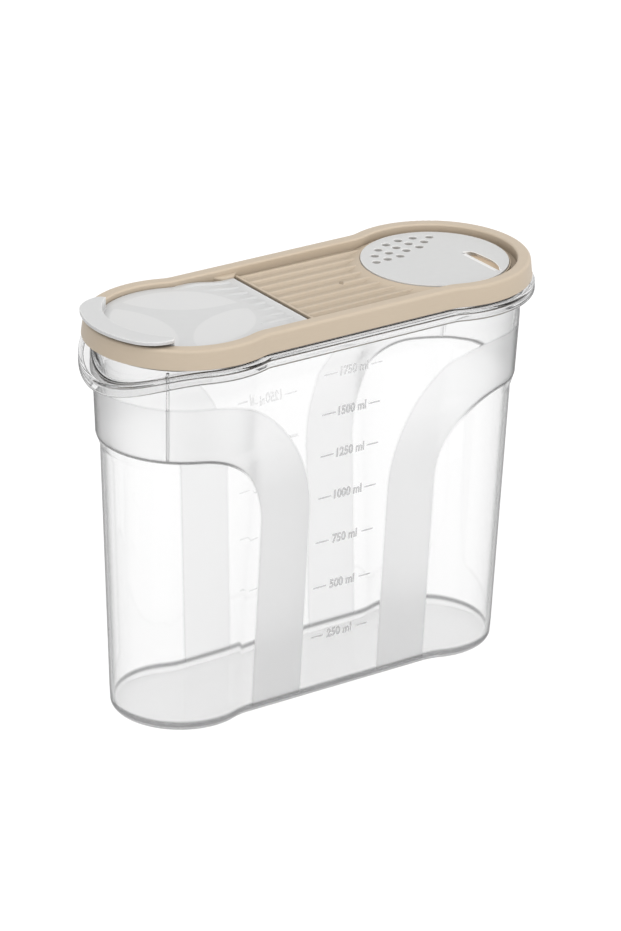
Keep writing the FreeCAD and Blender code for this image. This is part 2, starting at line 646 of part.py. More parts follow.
# Disc: plate with rows of holes, a finger slot with a thumb ramp, and a snap-in post.
HOLE_ROWS = (7, 5, 3)
disc_plate = cylinder("disc_plate", DISC_RADIUS, "disc_thickness", x="end_centre", z=DISC_UNDER)
holes = []
for row_index, hole_count in enumerate(HOLE_ROWS):
    row_radius = f"( {DISC_RADIUS} - hole_margin - {row_index} * hole_row_step )"
    for index in range(hole_count):
        hole = cylinder(f"hole_{row_index}_{index}", "hole_radius", f"disc_thickness + 2 * {PAST}")
        step = index - (hole_count - 1) / 2
        heading = f"( hole_mid_angle * 1deg + {step} * hole_pitch / {row_radius} * 1rad )"
        place(hole, x=f"end_centre + {row_radius} * cos( {heading} )",
              y=f"{row_radius} * sin( {heading} )", z=f"{DISC_UNDER} - {PAST}")
        holes.append(hole)
SLOT_RADIUS = "( slot_length * slot_length / 4 + slot_depth * slot_depth ) / ( 2 * slot_depth )"
slot_round = cylinder("slot_round", SLOT_RADIUS, f"disc_thickness + 2 * {PAST}",
                      x=f"end_centre + slot_chord + slot_depth - {SLOT_RADIUS}", z=f"{DISC_UNDER} - {PAST}")
bind(slot_round, Placement__Base__y="- slot_middle")
slot_side = doc.addObject("Part::Box", "slot_side")
bind(slot_side, Length=f"slot_depth + {PAST}", Width=f"slot_length + 2 * {PAST}",
     Height=f"disc_thickness + 2 * {PAST}")
place(slot_side, x="end_centre + slot_chord", y=f"- slot_middle - slot_length / 2 - {PAST}",
      z=f"{DISC_UNDER} - {PAST}")
slot = common("finger_slot", [slot_round, slot_side])
RAMP_ANGLE = "atan( ramp_drop / ramp_run )"
ramp = doc.addObject("Part::Box", "thumb_ramp")
ramp.Placement = ABOUT_Y
bind(ramp, Length=f"ramp_run / cos( {RAMP_ANGLE} ) + ramp_drop * tan( {RAMP_ANGLE} )",
     Width="ramp_length", Height="disc_thickness",
     Placement__Rotation__Angle=RAMP_ANGLE)
place(ramp, x="end_centre + slot_chord - ramp_run", y="- slot_middle - ramp_length / 2",
      z=f"{DISC_UNDER} + disc_thickness")
post = cylinder("disc_post", "hub_radius",
                "tray_thickness + disc_lift + hub_play + disc_thickness / 2",
                x="end_centre", z=f"{TRAY_UNDER} - hub_play")
post_head = cylinder("post_head", "hub_radius + hub_head", "hub_head_height", x="end_centre",
                     z=f"{TRAY_UNDER} - hub_play - hub_head_height")
shaker_disc = cut("shaker_disc", fuse("disc_solid", [disc_plate, post, post_head]),
                  fuse("disc_openings", holes + [slot, ramp]))

PIECES = [container_body, lid, pour_flap, shaker_disc]

doc.recompute()
faults = [thing.Name for thing in doc.Objects
          if "Invalid" in thing.State or "Error" in thing.State]
if faults:
    raise RuntimeError("objects left failed: " + ", ".join(faults))
for piece in PIECES:
    if piece.Shape.isNull() or not piece.Shape.isValid() or len(piece.Shape.Solids) != 1:
        raise RuntimeError(f"{piece.Label} is not one sound solid")

os.makedirs("parts", exist_ok=True)
for piece in PIECES:
    piece.Shape.exportStep(f"parts/{piece.Label}.step")
    box = piece.Shape.BoundBox
    print(piece.Label, f"{piece.Shape.Volume / 1000:.1f} ml", f"z {box.ZMin:.2f} to {box.ZMax:.2f}")
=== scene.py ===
import bpy
import bmesh
from math import atan2, cos, pi, radians, sin, sqrt
from mathutils import Matrix, Vector
from mathutils.kdtree import KDTree


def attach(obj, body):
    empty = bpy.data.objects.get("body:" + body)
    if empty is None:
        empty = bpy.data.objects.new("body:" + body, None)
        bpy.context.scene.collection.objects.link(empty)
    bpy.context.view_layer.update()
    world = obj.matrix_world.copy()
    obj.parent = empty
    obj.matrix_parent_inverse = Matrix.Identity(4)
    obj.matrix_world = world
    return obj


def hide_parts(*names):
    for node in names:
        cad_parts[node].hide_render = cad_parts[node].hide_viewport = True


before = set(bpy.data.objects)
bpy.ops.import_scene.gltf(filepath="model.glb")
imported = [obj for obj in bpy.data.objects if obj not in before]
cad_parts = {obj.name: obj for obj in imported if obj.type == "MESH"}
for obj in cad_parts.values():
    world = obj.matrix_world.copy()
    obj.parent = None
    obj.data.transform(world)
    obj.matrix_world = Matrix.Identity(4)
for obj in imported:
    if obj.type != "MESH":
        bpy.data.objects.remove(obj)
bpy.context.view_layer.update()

# Container: a tall tub injection-moulded in one piece from clear plastic, with a flat base,
# drafted walls, a band that stands proud round each end and a flange under the lid.
# Its ends and waist are those of the lid crest. The sizes of all pieces are in millimetres.
MM = 0.001
scene = bpy.context.scene
END_CENTRE, END_RADIUS, WAIST, WAIST_BLEND = 66.5, 42.3, 38.9, 14.0
TUB_WALL, TUB_FLOOR = 1.3, 2.0
BASE_INSET, BASE_ROUND, FLOOR_ROUND = 11.8, 2.6, 2.0
WINDOW_TOP, BAND_FOOT, BAND_INSET, END_RECESS = 124.5, 130.5, 5.1, 2.4
COLLAR_TOP, COLLAR_INSET, COLLAR_RUN, COLLAR_ROUND = 182.0, 2.7, 5.0, 0.5
FLANGE_TOP, FLANGE_REACH, SHELF, LIP_WALL, LIP_DROP, LIP_GAIN = 173.3, 1.8, 1.6, 1.4, 3.9, 1.0
ROOT_BELOW, ROOT_RISE, ROOT_ABOVE = 6.0, 0.8, 7.0
FLANGE_ROUNDS = (0.5, 0.5, 0.45, 0.5, 0.6, 0.5)
DIP_DEPTH, DIP_ANGLE = 10.5, radians(72)
END_STEPS, BLEND_STEPS, SIDE_STEPS = 48, 8, 14
CORNER_STEPS, FOOT_STEPS, FLOOR_STEPS = 4, 7, 5
OUTER_HEIGHTS = (8, 20, 35, 50, 65, 80, 95, 110, 118, 122, 123.6, 124.4, 125.2, 126.2, 128, 129.4, 130.1,
                 130.6, 131.2, 132.2, 136, 142, 148, 153, 157)
COLLAR_HEIGHTS = (176, 179)
INNER_HEIGHTS = (179, 170, 160, 150, 140, 133, 131.2, 130.5, 129.4, 127.5, 125.8, 124.5, 123.4, 118, 110, 95,
                 80, 65, 50, 35, 20, 9)


def waisted_ring(inset, end_shift=0.0):
    """Points round the waisted plan, set in by inset, each with its angle round its end."""
    centre = END_CENTRE - end_shift
    radius, half, blend = END_RADIUS - inset, WAIST - inset, WAIST_BLEND + inset
    reach = sqrt((radius + blend) ** 2 - (half + blend) ** 2)
    sweep = atan2(half + blend, -reach)
    lean = atan2(reach, half + blend)
    quarter = []
    for i in range(END_STEPS + 1):
        turn = sweep * i / END_STEPS
        quarter.append((centre + radius * cos(turn), radius * sin(turn), turn))
    for i in range(1, BLEND_STEPS + 1):
        turn = -pi / 2 + lean * (1 - i / BLEND_STEPS)
        quarter.append((centre - reach + blend * cos(turn), half + blend + blend * sin(turn), pi))
    for i in range(1, SIDE_STEPS + 1):
        quarter.append(((centre - reach) * (1 - i / SIDE_STEPS), half, pi))
    back = [(-x, y, turn) for x, y, turn in quarter[-2::-1]]
    front = [(-x, -y, turn) for x, y, turn in quarter[1:]]
    near = [(x, -y, turn) for x, y, turn in quarter[-2:0:-1]]
    return quarter + back + front + near


def flange_dip(x, turn):
    """How far the flange dips, which it does round the pouring end alone."""
    return DIP_DEPTH * cos(pi / 2 * min(turn / DIP_ANGLE, 1.0)) ** 2 if x < 0 else 0.0


def wall_at(height, inward=0.0):
    """Inset and end shift of the tub wall at a height."""
    if height <= WINDOW_TOP:
        part = height / WINDOW_TOP
        return BASE_INSET + part * (BAND_INSET - BASE_INSET) + inward, END_RECESS * part
    if height <= BAND_FOOT:
        return BAND_INSET + inward, END_RECESS * (BAND_FOOT - height) / (BAND_FOOT - WINDOW_TOP)
    part = (height - BAND_FOOT) / (COLLAR_TOP - BAND_FOOT)
    return BAND_INSET + part * (COLLAR_INSET - BAND_INSET) + inward, 0.0


def rounded_corner(before, corner, after, radius):
    """Stations (inset, height, dip share, gain share) that round one corner of a profile."""
    a, b, c = (Vector(p[:2]) for p in (before, corner, after))
    u, v = (a - b).normalized(), (c - b).normalized()
    half = u.angle(v) / 2
    cut = radius * cos(half) / sin(half)
    heart = b + (u + v).normalized() * radius / sin(half)
    start, end = b + u * cut - heart, b + v * cut - heart
    out = []
    for i in range(CORNER_STEPS + 1):
        p = heart + start.slerp(end, i / CORNER_STEPS)
        out.append((p.x, p.y) + tuple(corner[2:]))
    return out


# Stations up the outside, over the flange and collar, and down the inside.
outer_foot = [(BASE_INSET + BASE_ROUND * (1 - sin(t)), BASE_ROUND * (1 - cos(t)))
              for t in [pi / 2 * i / FOOT_STEPS for i in range(FOOT_STEPS + 1)]]
lip_foot = FLANGE_TOP - LIP_DROP
lip_in, lip_out = LIP_WALL - FLANGE_REACH, -FLANGE_REACH
root_under, shelf_under = wall_at(FLANGE_TOP - SHELF)[0], FLANGE_TOP - SHELF
root_top = wall_at(FLANGE_TOP)[0]
under = [(root_under, shelf_under - ROOT_BELOW, 1, 0), (root_under, shelf_under, 1, 0),
         (lip_in, shelf_under, 1, 0), (lip_in, lip_foot, 1, 1), (lip_out, lip_foot, 1, 1),
         (lip_out, FLANGE_TOP, 1, 0), (root_top, FLANGE_TOP + ROOT_RISE, 1, 0),
         (root_top, FLANGE_TOP + ROOT_ABOVE, 1, 0)]
flange_stations = []
for i, radius in enumerate(FLANGE_ROUNDS, 1):
    flange_stations += rounded_corner(under[i - 1], under[i], under[i + 1], radius)
collar_in, collar_low = COLLAR_INSET + TUB_WALL, COLLAR_TOP - COLLAR_RUN
brim_out, brim_in = (COLLAR_INSET, COLLAR_TOP, 0, 0), (collar_in, COLLAR_TOP, 0, 0)
top_edge = (rounded_corner((COLLAR_INSET, collar_low), brim_out, brim_in, COLLAR_ROUND)
            + rounded_corner(brim_out, brim_in, (collar_in, collar_low), COLLAR_ROUND))
inner_foot = [(BASE_INSET + TUB_WALL + FLOOR_ROUND * (1 - cos(t)), TUB_FLOOR + FLOOR_ROUND * (1 - sin(t)))
              for t in [pi / 2 * i / FLOOR_STEPS for i in range(FLOOR_STEPS + 1)]]
rings = []


def add_ring(inset, height, dip=0.0, gain=0.0, end_shift=0.0):
    """One ring of the tub, which follows the dip of the flange by the shares given."""
    fall = dip + gain * LIP_GAIN / DIP_DEPTH
    rings.append([(x, y, height - fall * flange_dip(x, turn))
                  for x, y, turn in waisted_ring(inset, end_shift)])


def add_stations(stations):
    for station in stations:
        add_ring(*station)


def add_wall(heights, inward=0.0):
    for height in heights:
        inset, shift = wall_at(height, inward)
        add_ring(inset, height, end_shift=shift)


add_stations(outer_foot)
add_wall(OUTER_HEIGHTS)
add_stations(flange_stations)
add_wall(COLLAR_HEIGHTS)
add_stations(top_edge)
add_wall(INNER_HEIGHTS, TUB_WALL)
add_stations(inner_foot)


def skin(name, loops, sharp_angle):
    """Mesh object with a quad skin over rings of points, its two ends filled and its creases sharp."""
    bm = bmesh.new()
    rows = [[bm.verts.new((x * MM, y * MM, z * MM)) for x, y, z in loop] for loop in loops]
    for low, high in zip(rows, rows[1:]):
        for i in range(len(low)):
            j = (i + 1) % len(low)
            bm.faces.new((low[i], low[j], high[j], high[i]))
    bm.faces.new(rows[0][::-1])
    bm.faces.new(rows[-1])
    bmesh.ops.recalc_face_normals(bm, faces=bm.faces)
    for face in bm.faces:
        face.smooth = True
    mesh = bpy.data.meshes.new(name)
    bm.to_mesh(mesh)
    bm.free()
    piece = bpy.data.objects.new(name, mesh)
    scene.collection.objects.link(piece)
    mesh.set_sharp_from_angle(angle=radians(sharp_angle))
    return piece


tub = skin("container_tub", rings, 50)


def add(tree, kind, inputs=None, **settings):
    """Node of a kind, with settings, whose inputs take values or other nodes' outputs."""
    node = tree.nodes.new(kind)
    for key, value in settings.items():
        setattr(node, key, value)
    for key, value in (inputs or {}).items():
        socket = node.inputs[key]
        if isinstance(value, bpy.types.NodeSocket):
            tree.links.new(value, socket)
        else:
            socket.default_value = value
    return node


def maths(tree, operation, a, b=0.0, clamp=False):
    return add(tree, "ShaderNodeMath", {0: a, 1: b}, operation=operation, use_clamp=clamp).outputs[0]


def times(tree, *shares):
    """Product of several shares."""
    product = shares[0]
    for share in shares[1:]:
        product = maths(tree, "MULTIPLY", product, share)
    return product


def most(tree, a, b):
    return maths(tree, "MAXIMUM", a, b)


def off_from(tree, value, middle):
    """How far a value is from a middle, on either side."""
    return maths(tree, "ABSOLUTE", maths(tree, "SUBTRACT", value, middle))


def past(tree, value, start):
    return most(tree, maths(tree, "SUBTRACT", value, start), 0.0)


def span(tree, value, start, end, low, high):
    """Low up to start and high from end on, with an even rise between."""
    return add(tree, "ShaderNodeMapRange", {"Value": value, "From Min": start, "From Max": end, "To Min": low,
                                            "To Max": high}).outputs[0]


def ramp(tree, value, start, end):
    """0 up to start and 1 from end on, with a smooth rise between."""
    return add(tree, "ShaderNodeMapRange", {"Value": value, "From Min": start, "From Max": end},
               interpolation_type="SMOOTHSTEP").outputs[0]


def noise(tree, scale, detail, roughness=0.5):
    inputs = {"Scale": scale, "Detail": detail, "Roughness": roughness}
    return add(tree, "ShaderNodeTexNoise", inputs).outputs["Fac"]


def grained(tree, shader, height, strength):
    """Give a shader the fine grain of a mould, from a height."""
    bump = add(tree, "ShaderNodeBump", {"Height": height, "Strength": strength, "Distance": 0.1 * MM})
    tree.links.new(bump.outputs[0], shader.inputs["Normal"])


def places(tree):
    """X, Y and Z of the spot on the piece."""
    return add(tree, "ShaderNodeSeparateXYZ", {0: add(tree, "ShaderNodeTexCoord").outputs["Object"]}).outputs


def plastic(name, **sockets):
    """New material with its tree and its main shader, whose sockets take plain values."""
    material = bpy.data.materials.new(name)
    material.use_nodes = True
    tree = material.node_tree
    shader = tree.nodes["Principled BSDF"]
    for key, value in sockets.items():
        shader.inputs[key.replace("_", " ")].default_value = value
    return material, tree, shader


def ellipse_distance(tree, along, up, half_width, half_height):
    """1 on an ellipse about the origin of two measures, less inside and more outside."""
    wide = maths(tree, "POWER", maths(tree, "DIVIDE", along, half_width), 2.0)
    tall = maths(tree, "POWER", maths(tree, "DIVIDE", up, half_height), 2.0)
    return maths(tree, "SQRT", maths(tree, "ADD", wide, tall))


# The tool is polished except for an arch over each end, which leaves the wall satin there
# with a fine step round it. An arch has a start along its end, a half width and a rise.
ARCH_X, ARCH_SPRING = 66.0, 92.0
OUTER_ARCH, INNER_ARCH = (-12.0, 57.0, 62.8), (-14.0, 34.0, 38.3)
WALL_FOOT = 3.2
SATIN_LEGS, SATIN_BAND = 0.42, 0.3


def arch_distance(tree, from_end, height, arch):
    """1 on the outline of an arch, less inside and more outside."""
    start, half_width, rise = arch
    return ellipse_distance(tree, past(tree, from_end, start * MM), past(tree, height, ARCH_SPRING * MM),
                            half_width * MM, rise * MM)


clear_plastic, tree, shader = plastic("clear_plastic", IOR=1.46, Transmission_Weight=1.0)
place = places(tree)
height = place["Z"]
from_end = maths(tree, "SUBTRACT", ARCH_X * MM, maths(tree, "ABSOLUTE", place["X"]))
facing = add(tree, "ShaderNodeLayerWeight", {"Blend": 0.5}).outputs["Facing"]
normal = add(tree, "ShaderNodeNewGeometry").outputs["Normal"]
level = maths(tree, "ABSOLUTE", add(tree, "ShaderNodeSeparateXYZ", {0: normal}).outputs["Z"])
upright = maths(tree, "SUBTRACT", 1.0, level)
on_wall = maths(tree, "GREATER_THAN", height, WALL_FOOT * MM)
outer_far = arch_distance(tree, from_end, height, OUTER_ARCH)
inner_far = arch_distance(tree, from_end, height, INNER_ARCH)
arch = times(tree, ramp(tree, outer_far, 1.006, 0.994), ramp(tree, inner_far, 0.99, 1.01), on_wall)
outer_line = ramp(tree, off_from(tree, outer_far, 1.0), 0.014, 0.004)
inner_line = ramp(tree, off_from(tree, inner_far, 1.0), 0.026, 0.007)
band_foot_shade = times(tree, inner_line, ramp(tree, height, 118 * MM, 129 * MM))
polish = span(tree, noise(tree, 14.0, 2.0), 0.0, 1.0, 0.015, 0.05)
satin = span(tree, height, 105 * MM, 135 * MM, SATIN_LEGS, SATIN_BAND)
rough = add(tree, "ShaderNodeMix", {"Factor": arch, "A": polish, "B": satin}, data_type="FLOAT").outputs[0]
tree.links.new(rough, shader.inputs["Roughness"])
grained(tree, shader, times(tree, noise(tree, 900.0, 3.0), arch), 0.25)
# The plastic's colour is darker edge on, along the fine steps, in the flange and lower down the satin legs;
# painted shade darkens it in the corner at the foot of the band and round the collar at the ends.
lost = times(tree, maths(tree, "POWER", facing, 3.2), upright, 0.85)
at_flange = ramp(tree, height, 155 * MM, 162 * MM)
end_collar_shade = times(tree, ramp(tree, height, 150 * MM, 158 * MM), ramp(tree, from_end, 12 * MM, -12 * MM))
on_legs = times(tree, arch, ramp(tree, height, 135 * MM, 105 * MM))
for share, amount in ((outer_line, 0.1), (inner_line, 0.12), (band_foot_shade, 0.6), (at_flange, 0.035),
                      (end_collar_shade, 0.045), (on_legs, 0.04)):
    lost = maths(tree, "ADD", lost, times(tree, share, on_wall, amount))
tree.links.new(maths(tree, "SUBTRACT", 1.0, lost, clamp=True), shader.inputs["Base Color"])
tint = add(tree, "ShaderNodeVolumeAbsorption", {"Color": (0.5, 0.5, 0.505, 1), "Density": 50.0})
tree.links.new(tint.outputs[0], tree.nodes["Material Output"].inputs["Volume"])
# Painted shade: where the wall turns edge on, and in the corner round the floor, a dim see-through layer
# darkens it.
rim = times(tree, ramp(tree, facing, 0.64, 0.9), upright, 0.63)
foot = times(tree, ramp(tree, height, 5.2 * MM, 3.6 * MM), ramp(tree, height, 1.6 * MM, 2.4 * MM), upright)
rim = most(tree, rim, times(tree, foot, 0.8))
dim = add(tree, "ShaderNodeBsdfTransparent", {"Color": (0.4, 0.4, 0.405, 1)})
surface = add(tree, "ShaderNodeMixShader", {0: rim, 1: shader.outputs[0], 2: dim.outputs[0]})
# Light that only brightens other pieces passes straight through, and so does some at the base.
path = add(tree, "ShaderNodeLightPath").outputs
lighting = most(tree, path["Is Shadow Ray"], path["Is Diffuse Ray"])
base_edge = times(tree, ramp(tree, height, 2.6 * MM, 1.8 * MM), 0.36)
passing = add(tree, "ShaderNodeBsdfTransparent", {"Color": (0.95, 0.95, 0.95, 1)})
surface = add(tree, "ShaderNodeMixShader", {0: most(tree, lighting, base_edge), 1: surface.outputs[0],
                                            2: passing.outputs[0]})
tree.links.new(surface.outputs[0], tree.nodes["Material Output"].inputs["Surface"])
tub.data.materials.append(clear_plastic)
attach(tub, "container")
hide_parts("container_body")

# Scale: raised numbers and strokes cut into the mould, on the front and back walls
# between the legs of the arches, so they stand a hair proud of the clear wall.
SCALE_ROWS = {29.2: "250 ml", 53.7: "500 ml", 76.0: "750 ml", 97.6: "1000 ml", 117.9: "1250 ml",
              137.7: "1500 ml", 156.5: "1750 ml"}
WORDS_X, WORDS_TALL, SHORT_WORDS, LONG_WORDS, WORDS_BOLD = 1.3, 4.4, 13.2, 14.6, 0.03
STROKES = ((-13.3, 6.9), (10.8, 6.1))
STROKE_WIDTH, STROKE_ROUND, RELIEF = 0.6, 0.12, 0.12
SLOPE_SPAN = 3.0

# The marks are of clear plastic: their grey is painted shade, fainter on the back wall and in the top rows.
scale_plastic, tree, shader = plastic("scale_plastic", Base_Color=(0.58, 0.58, 0.585, 1), Roughness=0.45)
place = places(tree)
by_wall = span(tree, place["Y"], -10 * MM, 10 * MM, 0.38, 0.13)
by_row = span(tree, place["Z"], 142 * MM, 153 * MM, 1.0, 0.5)
tree.links.new(times(tree, by_wall, by_row), shader.inputs["Alpha"])
grained(tree, shader, noise(tree, 700.0, 2.0), 0.2)


def wall_frame(x, height, side):
    """Matrix that lays flat work on the outside of a long wall, side -1 in front and 1 behind."""
    low, high = wall_at(height - SLOPE_SPAN)[0], wall_at(height + SLOPE_SPAN)[0]
    up = Vector((0, side * (low - high), 2 * SLOPE_SPAN)).normalized()
    along = Vector((-side, 0, 0))
    out = along.cross(up)
    spot = Vector((x, side * (WAIST - wall_at(height)[0]), height)) * MM
    turn = Matrix((along, up, out)).transposed().to_4x4()
    return Matrix.Translation(spot) @ turn


def wall_mark(bm, mesh, matrix):
    mesh.transform(matrix)
    bm.from_mesh(mesh)
    bpy.data.meshes.remove(mesh)


def words_mesh(words):
    """Mesh of raised words, with the matrix that brings them to their size on the wall."""
    curve = bpy.data.curves.new("scale_words", "FONT")
    curve.body = words
    curve.align_x, curve.align_y = "CENTER", "CENTER"
    curve.size = 1.0
    curve.resolution_u = 4
    curve.offset = WORDS_BOLD
    writer = bpy.data.objects.new("scale_words", curve)
    scene.collection.objects.link(writer)
    bpy.context.view_layer.update()
    wide = (LONG_WORDS if len(words) > 6 else SHORT_WORDS) * MM / writer.dimensions.x
    tall = WORDS_TALL * MM / writer.dimensions.y
    curve.extrude = RELIEF
    bpy.context.view_layer.update()
    mesh = bpy.data.meshes.new_from_object(writer.evaluated_get(bpy.context.evaluated_depsgraph_get()))
    bpy.data.objects.remove(writer)
    return mesh, Matrix.Diagonal((wide, tall, MM, 1))


def stroke_mesh(length):
    """Mesh of one stroke with rounded edges, with the matrix that brings it to its size."""
    stroke = bmesh.new()
    bmesh.ops.create_cube(stroke, size=1.0)
    bmesh.ops.bevel(stroke, geom=stroke.edges[:], offset=STROKE_ROUND, segments=2, affect="EDGES")
    mesh = bpy.data.meshes.new("stroke")
    stroke.to_mesh(mesh)
    stroke.free()
    return mesh, Matrix.Diagonal((length * MM, STROKE_WIDTH * MM, 2 * RELIEF * MM, 1))


for side, name in ((-1, "scale_front"), (1, "scale_back")):
    bm = bmesh.new()
    for height, words in SCALE_ROWS.items():
        mesh, shape = words_mesh(words)
        wall_mark(bm, mesh, wall_frame(side * WORDS_X, height, side) @ shape)
        for x, length in STROKES:
            mesh, shape = stroke_mesh(length)
            wall_mark(bm, mesh, wall_frame(-side * x, height, side) @ shape)
    mesh = bpy.data.meshes.new(name)
    bm.to_mesh(mesh)
    bm.free()
    marks = bpy.data.objects.new(name, mesh)
    scene.collection.objects.link(marks)
    mesh.materials.append(scale_plastic)
    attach(marks, "container")

# Stacking ribs: four thin upright ribs moulded on the inside of the round ends, which
# keep a nested tub from jamming. They are of the tub's own clear plastic.
RIB_ANGLE, RIB_WIDTH, RIB_DEPTH, RIB_ROUND, RIB_TOP = radians(47), 1.2, 1.4, 0.4, 171.5
for end in (-1, 1):
    for side in (-1, 1):
        loops = []
        for height in (BAND_FOOT + 0.5, 140, 150, 160, RIB_TOP):
            outside = END_RADIUS - wall_at(height)[0] - TUB_WALL * 0.5
            inside = END_RADIUS - wall_at(height)[0] - TUB_WALL - RIB_DEPTH
            shoulder = inside + RIB_ROUND
            ring = []
            for radius, sideways in ((outside, -0.5), (shoulder, -0.5), (inside, -0.3), (inside, 0.3),
                                     (shoulder, 0.5), (outside, 0.5)):
                across = sideways * RIB_WIDTH
                x = radius * cos(RIB_ANGLE) - across * sin(RIB_ANGLE)
                y = radius * sin(RIB_ANGLE) + across * cos(RIB_ANGLE)
                ring.append((end * (END_CENTRE + x), side * y, height))
            loops.append(ring)
        name = f"stacking_rib_{'left' if end < 0 else 'right'}_{'front' if side < 0 else 'back'}"
        rib = skin(name, loops, 30)
        rib.data.materials.append(clear_plastic)
        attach(rib, "container")

# Lid: one moulding in beige plastic, a skirt and a plug wall over the tub's collar round a
# sunk tray with beads along it, the hinge trough, the disc's collar and the two outlets.
LID_EDGE, EDGE_TRIES, SHARP_FROM, CREASE_FROM = 0.25, 8, radians(45), radians(46)
WELD, FOLDED, SLIVER = 2e-6, 0.3, 1e-10
TRAY_HALF, TRAY_LOW, TRAY_HIGH, TROUGH_EDGE, TROUGH_SHIFT = 33.0, 177.0, 181.0, -19.9, 1.9
BEAD_TOP, BEAD_RISE, BEAD_START, BEAD_STOP = 180.0, 0.5, -19.0, 62.0
GATE_X, GATE_FOOT, GATE_ROUND, GATE_RISE = 16.2, 180.25, 1.2, 0.8
SEAT_RADIUS, SEAT_WALL, SEAT_WALL_OUT, SEAT_SQUEEZE = 33.0, 34.8, 33.7, 0.25
SEAT_LOW, SEAT_HIGH, BEAD_END_NEAR, BEAD_END_FAR, BEAD_END_X = 179.0, 181.5, 34.6, 37.5, 60.0


def softened(node, name, edge_round, settle, cuts=()):
    """Copy of a CAD node with its edges rounded, but for those too close together to round.

    Settle moves its points, and cuts are places along X where the copy is divided to bend there."""
    crowded = []
    for attempt in range(EDGE_TRIES):
        bm = bmesh.new()
        bm.from_mesh(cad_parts[node].data)
        bmesh.ops.remove_doubles(bm, verts=bm.verts, dist=WELD)
        for cut in cuts:
            bmesh.ops.bisect_plane(bm, geom=bm.verts[:] + bm.edges[:] + bm.faces[:], dist=1e-6,
                                   plane_co=(cut * MM, 0, 0), plane_no=(1, 0, 0))
        for vert in bm.verts:
            vert.co = Vector(settle(*(vert.co / MM))) * MM
        bm.normal_update()
        facing = bm.faces.layers.float_vector.new("facing")
        for face in bm.faces:
            face[facing] = face.normal
        near = KDTree(max(len(crowded), 1))
        for i, spot in enumerate(crowded):
            near.insert(spot, i)
        near.balance()
        sharp = []
        for edge in bm.edges:
            if edge.calc_face_angle(0.0) > SHARP_FROM:
                start, end = (v.co for v in edge.verts)
                spots = (start, end, (start + end) / 2)
                if not crowded or all(near.find(p)[2] > 2 * edge_round * MM for p in spots):
                    sharp.append(edge)
        bmesh.ops.bevel(bm, geom=sharp, offset=edge_round * MM, segments=2, profile=0.5, affect="EDGES",
                        clamp_overlap=False, loop_slide=False)
        bm.normal_update()
        folded = [f for f in bm.faces
                  if Vector(f[facing]).dot(f.normal) < FOLDED and f.calc_area() > SLIVER]
        if not folded:
            break
        crowded += [v.co.copy() for f in folded for v in f.verts]
        if attempt < EDGE_TRIES - 1:
            bm.free()
    bm.faces.layers.float_vector.remove(facing)
    for face in bm.faces:
        face.smooth = True
    mesh = bpy.data.meshes.new(name)
    bm.to_mesh(mesh)
    bm.free()
    mesh.set_sharp_from_angle(angle=CREASE_FROM)
    piece = bpy.data.objects.new(name, mesh)
    scene.collection.objects.link(piece)
    weigh = piece.modifiers.new("even_shading", "WEIGHTED_NORMAL")
    weigh.keep_sharp = True
    return piece


def smooth_step(value, start, end):
    share = min(max((value - start) / (end - start), 0.0), 1.0)
    return share * share * (3 - 2 * share)


def settle_lid(x, y, z):
    """The beads start clear of the hinge and reach the thin collar; the gate mark tops its bead."""
    if z > GATE_FOOT and sqrt((x - GATE_X) ** 2 + y * y) < GATE_ROUND:
        z += GATE_RISE
    if abs(x - TROUGH_EDGE) < 0.5 and abs(y) < TRAY_HALF + 0.2 and TRAY_LOW < z < TRAY_HIGH:
        x += TROUGH_SHIFT
    if abs(z - BEAD_TOP) < 0.2 and BEAD_START < x < BEAD_STOP and abs(y) < TRAY_HALF:
        z += BEAD_RISE
    far = sqrt((x - END_CENTRE) ** 2 + y * y)
    on_collar = abs(far - SEAT_WALL) < 0.2
    at_bead_end = BEAD_END_NEAR < far < BEAD_END_FAR and x < BEAD_END_X and abs(y) < TRAY_HALF
    if SEAT_LOW < z < SEAT_HIGH and (on_collar or at_bead_end):
        near = SEAT_WALL_OUT + (far - SEAT_WALL) * SEAT_SQUEEZE
        x, y = END_CENTRE + (x - END_CENTRE) * near / far, y * near / far
    return x, y, z


lid = softened("lid", "lid_moulding", LID_EDGE, settle_lid)
# A ledge ends the tray at the hinge trough.
LEDGE_X, LEDGE_WIDTH, LEDGE_HALF, LEDGE_TOP, LEDGE_DEPTH = -18.1, 1.5, 32.6, 180.45, 1.4
LEDGE_PROFILE = ((0.0, -LEDGE_DEPTH), (0.0, -0.2), (0.2, 0.0), (LEDGE_WIDTH - 0.3, 0.0), (LEDGE_WIDTH, -0.3),
                 (LEDGE_WIDTH + 0.3, -LEDGE_DEPTH))
loops = [[(LEDGE_X + x, y, LEDGE_TOP + z) for x, z in LEDGE_PROFILE] for y in (-LEDGE_HALF, LEDGE_HALF)]
ledge = skin("tray_ledge", loops, 50)
# The disc's collar has a sloped foot, from which the beads come out. It stops at the tray wall.
COLLAR_FOOT = ((33.6, 178.9), (33.6, 181.15), (34.3, 181.0), (35.4, 180.35), (36.8, 179.8), (38.2, 179.4),
               (39.6, 179.1), (39.6, 178.9))
FOOT_START, FOOT_SWEEP, FOOT_TURNS, WALL_INSIDE = 106, 148, 48, 33.3
loops = []
for step in range(FOOT_TURNS + 1):
    turn = radians(FOOT_START + FOOT_SWEEP * step / FOOT_TURNS)
    to_wall = WALL_INSIDE / max(abs(sin(turn)), 0.5)
    loops.append([(END_CENTRE + min(far, to_wall) * cos(turn), min(far, to_wall) * sin(turn), z)
                  for far, z in COLLAR_FOOT])
collar_foot = skin("collar_foot", loops, 50)
